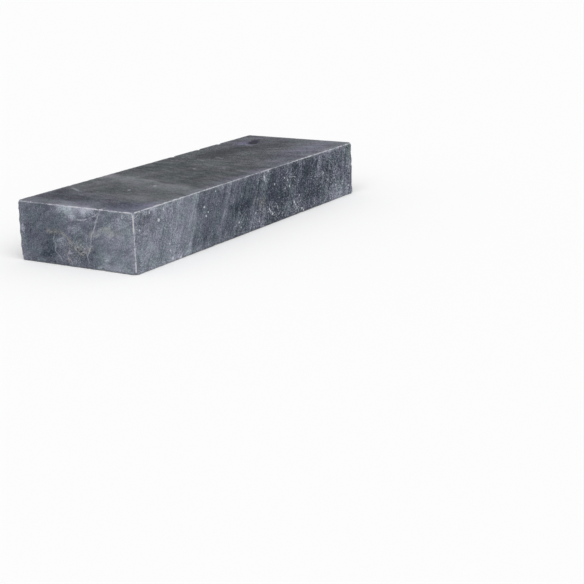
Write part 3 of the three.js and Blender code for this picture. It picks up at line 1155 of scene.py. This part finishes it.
def rock_group():
    """The limestone itself, as it is all through the block."""
    tree, wire, given, result = new_group("limestone rock", "ShaderNodeTree", ROCK_INPUTS, ROCK_OUTPUTS)
    place = given["Place"]
    spot = wire.vector("SUBTRACT", place, tuple(LOW))
    crook = wire.wandering(place, *CROOK)
    wander = wire.wandering(place, *WANDER)
    ragged = wire.shifted(spot, crook, TINGE_SHIFT)

    along = bed_distance(wire, place, spot)
    brushed = bed_readings(wire, along)[0]
    blurred = wire.plus(along, wire.swing(place, *HONED_WOBBLE))
    honed, purple = bed_readings(wire, blurred)[1:]
    wire.plug(rock_tone(wire, given, spot, crook, along, brushed, honed), result["Tone"])
    purple = wire.times(with_patches(wire, ragged, purple, PURPLE_PATCHES), given["Honed"])
    wire.plug(faint_tinge(wire, place, ragged, purple), result["Tinge"])
    close_by = wire.vector("ADD", spot, both_shifts(wire, crook, wander, MARK_SHIFTS))
    wire.plug(with_patches(wire, close_by, 0.0, DARK_MARK, core=0.5), result["Dark Mark"])
    calcite, rust = cracks_and_rust(wire, place, spot, crook, wander)
    wire.plug(calcite, result["Calcite"])
    wire.plug(rust, result["Rust"])
    flecks = white_flecks(wire, place, spot, wander)
    wire.plug(wire.times(flecks, given["Flecks"]), result["Fleck"])
    wire.plug(wire.noise(place, *CRYSTALS), result["Crystals"])
    return tree


rock = rock_group()
print("rock group nodes:", len(rock.nodes))

# %% [markdown]
# ## Bruised arrises
#
# Dark limestone turns nearly white where it is crushed, because light scatters in the broken crystals. So
# every arris carries a pale line as wide as its chamfer, and every knock leaves a pale spot. The skin's
# tree stored how deep each point was knocked below the sawn faces, and the place alone tells how far the
# nearest arris is. The arrises that lie on the ground are in shade, and that shade is painted: their pale
# line fades nearly away there.

# %% How bruises vary
# Stretches of arris that were knocked more or less than the rest, in the form of a patch.
ARRIS_STRETCHES = (
    ((0.000, 0.298, 0.147), (0.030, 0.055, 0.030), -0.60),
    ((0.000, 0.130, 0.147), (0.030, 0.050, 0.030), 0.20),
    ((0.000, 0.062, 0.147), (0.030, 0.020, 0.030), -0.40),
    ((0.000, 0.000, 0.147), (0.030, 0.030, 0.015), 0.15),
    ((0.120, 0.000, 0.147), (0.160, 0.030, 0.030), 0.20),
    ((0.450, 0.000, 0.147), (0.150, 0.030, 0.030), -0.15),
    ((0.610, 0.000, 0.147), (0.060, 0.030, 0.030), -0.35),
    ((0.800, 0.000, 0.147), (0.180, 0.030, 0.030), 0.25),
    ((0.000, 0.000, 0.108), (0.030, 0.030, 0.018), -0.14),
    ((0.000, 0.000, 0.070), (0.030, 0.030, 0.022), -0.20),
)
# A bruise is whole within the second number of its widths from the arris, and gone at the first.
BRUISE_RIM = (1.2, 0.7)
# How its width and its strength vary along the arris, and how grainy the bruise of a knock is.
FRAYED = ((60.0, 6.0, 0.7), (0.3, 0.7, 0.80, 1.22))
UNEQUAL = ((60.0, 3.0, 0.6), (0.36, 0.60, 0.68, 0.96))
CRUSHED = ((230.0, 4.0, 0.6), (0.42, 0.62, 0.10, 0.8))
# How far in from the arrises their faint dusting reaches, and how deep a knock is at which its bruise
# starts and is whole.
DUSTING_REACH = 0.022
KNOCK_DEPTHS = (0.0003, 0.0011)
# The heights at which the painted shade by the ground is whole and gone, and what it leaves of a bruise.
PAINTED_GROUND_SHADE = (0.001, 0.008)
GROUND_SHADE_LEAVES = 0.15
print("stretches of arris:", len(ARRIS_STRETCHES))

# %% Bruise group


def bruise_group():
    """A mask of crushed, pale stone along the arrises and in the knocks."""
    inputs = {"Place": "Vector", "Knocked": "Float", "Width": "Float", "Dusting": "Float"}
    outputs = {"Bruise": "Float"}
    tree, wire, given, result = new_group("bruised arris", "ShaderNodeTree", inputs, outputs)
    place = given["Place"]
    from_arris = arris_distance(wire, place, tuple(LOW), tuple(HIGH))
    frayed = wire.mottle(place, *FRAYED)
    edge = wire.fade(wire.over(from_arris, wire.times(given["Width"], frayed)), *BRUISE_RIM)
    spot = wire.vector("SUBTRACT", place, tuple(LOW))
    knocks = with_patches(wire, spot, wire.mottle(place, *UNEQUAL), ARRIS_STRETCHES)
    # Painted shade: at the arrises on the ground, which lie in shade, the pale line and knocks fade to a
    # little of themselves.
    off_ground = wire.fade(wire.split(spot)[2], *PAINTED_GROUND_SHADE, GROUND_SHADE_LEAVES, 1.0)
    dusting = wire.times(wire.fade(from_arris, DUSTING_REACH, 0.0), given["Dusting"])
    edge = wire.times(wire.most(wire.times(edge, knocks), dusting), off_ground)
    knock = wire.fade(given["Knocked"], *KNOCK_DEPTHS)
    knock = wire.times(knock, wire.mottle(place, *CRUSHED))
    knock = wire.times(knock, off_ground)
    wire.plug(wire.most(edge, knock), result["Bruise"])
    return tree


bruise = bruise_group()
print("bruise group nodes:", len(bruise.nodes))

# %% [markdown]
# ## Three finishes
#
# The honed tread is dark and even, and mirrors a little at a low angle. The brushed sides are paler, with
# open grain. The sawn bed face is the palest and the roughest, for nobody sees it. Each finish is the
# same recipe with its own numbers: shades for tone 0, 0.5 and 1, how strongly it shows each pattern,
# roughness, gloss, bump, and the colour of its bruises.

# %% How each finish looks
# "rock" and "wear" hold the inputs of the two groups, and "roughness" its least and greatest value.
STONE_LOOKS = {
    "honed limestone": {
        "shades": ((0.031, 0.034, 0.039), (0.118, 0.127, 0.138), (0.216, 0.224, 0.242)),
        "rock": {"Honed": 1.0, "Streaks": 1.25, "Clouds": 1.05, "Grain": 1.0, "Flecks": 0.4},
        "wear": {"Width": 0.0022, "Dusting": 0.10},
        "roughness": (0.42, 0.58), "gloss": 0.04, "bump": 0.15, "bruise": (0.460, 0.465, 0.540),
    },
    "brushed limestone": {
        "shades": ((0.020, 0.027, 0.042), (0.128, 0.142, 0.176), (0.395, 0.420, 0.490)),
        "rock": {"Honed": 0.0, "Streaks": 0.95, "Clouds": 0.85, "Grain": 0.9, "Flecks": 1.0},
        "wear": {"Width": 0.0027, "Dusting": 0.04},
        "roughness": (0.70, 0.85), "gloss": 0.15, "bump": 0.6, "bruise": (0.480, 0.475, 0.495),
    },
    "sawn limestone": {
        "shades": ((0.050, 0.054, 0.065), (0.170, 0.180, 0.200), (0.420, 0.440, 0.480)),
        "rock": {"Honed": 0.0, "Streaks": 0.6, "Clouds": 0.7, "Grain": 0.6, "Flecks": 0.6},
        "wear": {"Width": 0.0025, "Dusting": 0.02},
        "roughness": (0.75, 0.90), "gloss": 0.20, "bump": 0.5, "bruise": (0.450, 0.450, 0.480),
    },
}
# The colours of the rock's marks, in the order in which they lie over one another.
MARKS = {
    "Dark Mark": (0.022, 0.020, 0.036, 1.0),
    "Rust": (0.330, 0.310, 0.285, 1.0),
    "Calcite": (0.420, 0.430, 0.480, 1.0),
    "Fleck": (0.500, 0.520, 0.560, 1.0),
}
BUMP_HEIGHT = 0.001
# Between which values of the crystals' noise a finish goes from smooth to rough.
CRYSTAL_RANGE = (0.3, 0.7)
print("finishes:", list(STONE_LOOKS))

# %% From a look to a material


def finish_material(name, look):
    """One finish of the rock."""
    material = bpy.data.materials.new(name)
    material.use_nodes = True
    wire = Patterns(material.node_tree)
    shader = material.node_tree.nodes["Principled BSDF"]
    place = wire.add("ShaderNodeTexCoord").outputs["Object"]
    knocked = wire.add("ShaderNodeAttribute", attribute_name="knocked").outputs["Fac"]
    stone_of = wire.add("ShaderNodeGroup", node_tree=rock)
    wire.plug(place, stone_of.inputs["Place"])
    for socket, value in look["rock"].items():
        stone_of.inputs[socket].default_value = value
    worn = wire.add("ShaderNodeGroup", node_tree=bruise)
    wire.plug(place, worn.inputs["Place"])
    wire.plug(knocked, worn.inputs["Knocked"])
    for socket, value in look["wear"].items():
        worn.inputs[socket].default_value = value

    ramp = wire.add("ShaderNodeValToRGB", {0: stone_of.outputs["Tone"]})
    ramp.color_ramp.elements.new(0.5)
    for stop, position, shade in zip(ramp.color_ramp.elements, (0.0, 0.5, 1.0), look["shades"]):
        stop.position = position
        stop.color = (*shade, 1.0)
    colour = wire.tint(1.0, ramp.outputs["Color"], stone_of.outputs["Tinge"], "MULTIPLY")
    for mark, its_colour in MARKS.items():
        colour = wire.tint(stone_of.outputs[mark], colour, its_colour)
    colour = wire.tint(worn.outputs["Bruise"], colour, (*look["bruise"], 1.0))
    wire.plug(colour, shader.inputs["Base Color"])
    smoothest, roughest = look["roughness"]
    roughness = wire.fade(stone_of.outputs["Crystals"], *CRYSTAL_RANGE, smoothest, roughest)
    wire.plug(roughness, shader.inputs["Roughness"])
    bump = wire.add("ShaderNodeBump", {"Height": stone_of.outputs["Crystals"]})
    bump.inputs["Strength"].default_value = look["bump"]
    bump.inputs["Distance"].default_value = BUMP_HEIGHT
    wire.plug(bump.outputs[0], shader.inputs["Normal"])
    shader.inputs["Specular IOR Level"].default_value = look["gloss"]
    return material


finishes = [finish_material(name, look) for name, look in STONE_LOOKS.items()]
print("materials:", [material.name for material in finishes])

# %% [markdown]
# ## Draw the skin on
#
# The tree goes on the sheath as a modifier, with its sizes set by the socket's identifier. Then the
# result is kept as a plain mesh and the modifier goes, because the finished piece has to stand on its
# own. The tree leaves an empty first material slot behind, which goes too.

# %% The skin, drawn on and kept
SKIN_SETTINGS = {
    "Sawn Block": sawn_block,
    "Low Corner": LOW,
    "High Corner": HIGH,
    "Chamfer": 0.0024,
    "Brushed Relief": 0.0006,
    "Honed Relief": 0.00012,
    "Pit Spacing": 0.012,
    "Pit Depth": 0.0008,
    "Arris Crumble": 0.0009,
    "Seed": 3.7,
}

skin = stone.modifiers.new("stone skin", "NODES")
skin.node_group = skin_tree(finishes)
for socket in skin.node_group.interface.items_tree:
    if socket.name in SKIN_SETTINGS:
        skin[socket.identifier] = SKIN_SETTINGS[socket.name]
depsgraph = bpy.context.evaluated_depsgraph_get()
worn_mesh = bpy.data.meshes.new_from_object(stone.evaluated_get(depsgraph), depsgraph=depsgraph)
stone.modifiers.clear()
stone.data = worn_mesh
for number in reversed(range(len(worn_mesh.materials))):
    if worn_mesh.materials[number] is None:
        worn_mesh.materials.pop(index=number)
faces_of_finish = np.zeros(len(worn_mesh.polygons), int)
worn_mesh.polygons.foreach_get("material_index", faces_of_finish)
print("stone squares, by finish:", dict(zip(STONE_LOOKS, np.bincount(faces_of_finish).tolist())))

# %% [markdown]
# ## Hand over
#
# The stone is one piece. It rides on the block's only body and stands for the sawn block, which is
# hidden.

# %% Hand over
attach(stone, "root")
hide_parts("step_block")
